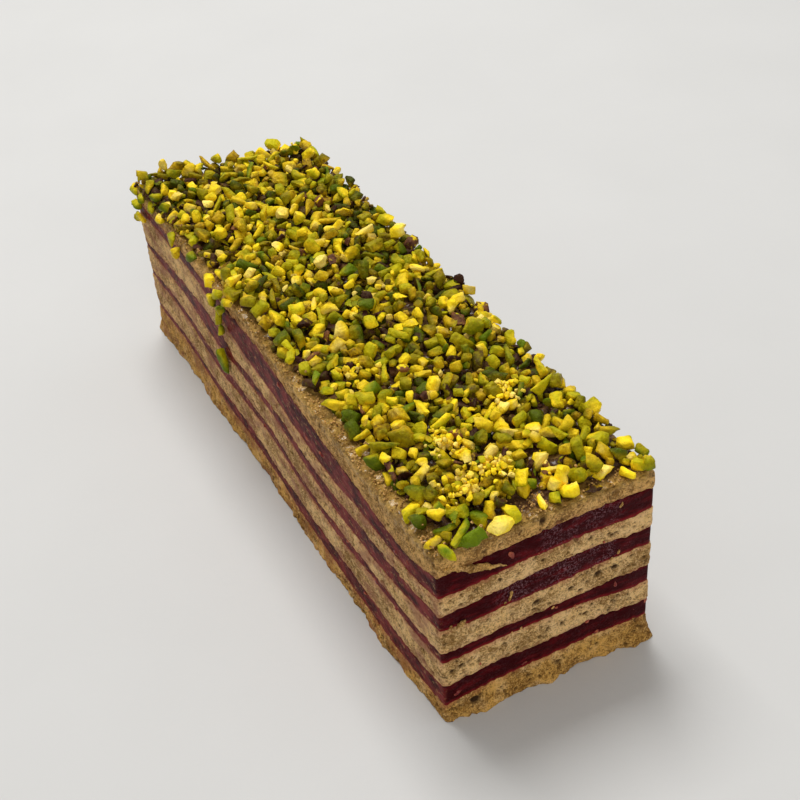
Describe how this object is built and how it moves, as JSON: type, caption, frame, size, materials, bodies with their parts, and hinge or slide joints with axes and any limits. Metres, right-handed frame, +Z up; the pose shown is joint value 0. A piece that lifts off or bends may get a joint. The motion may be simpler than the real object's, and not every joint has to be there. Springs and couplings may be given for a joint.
{
  "type": "pistachio layer cake bar",
  "caption": "Long loaf-shaped layer cake of thin sponge sheets with dark red berry jelly between them, the top covered with chopped pistachios",
  "frame": {"origin": "on the surface the cake stands on, under the middle of its bounding box", "axes": "+Z up; +Y along the length, towards the far short end; -Y is the near short end that faces the picture's camera"},
  "size_m": [0.066, 0.2056, 0.066],
  "materials": {
    "sponge": "open, matte baked crumb",
    "jelly": "set dark berry jelly, satin on the cut",
    "pistachio": "chopped kernels in a thin glaze, yellow to green with some purple skin"
  },
  "bodies": {
    "root": {"sponge_base": "sponge", "jelly_1": "jelly", "sponge_2": "sponge", "jelly_2": "jelly", "sponge_3": "sponge", "jelly_3": "jelly", "sponge_4": "sponge", "jelly_4": "jelly", "sponge_top_pistachios": "pistachio"}
  },
  "joints": []
}
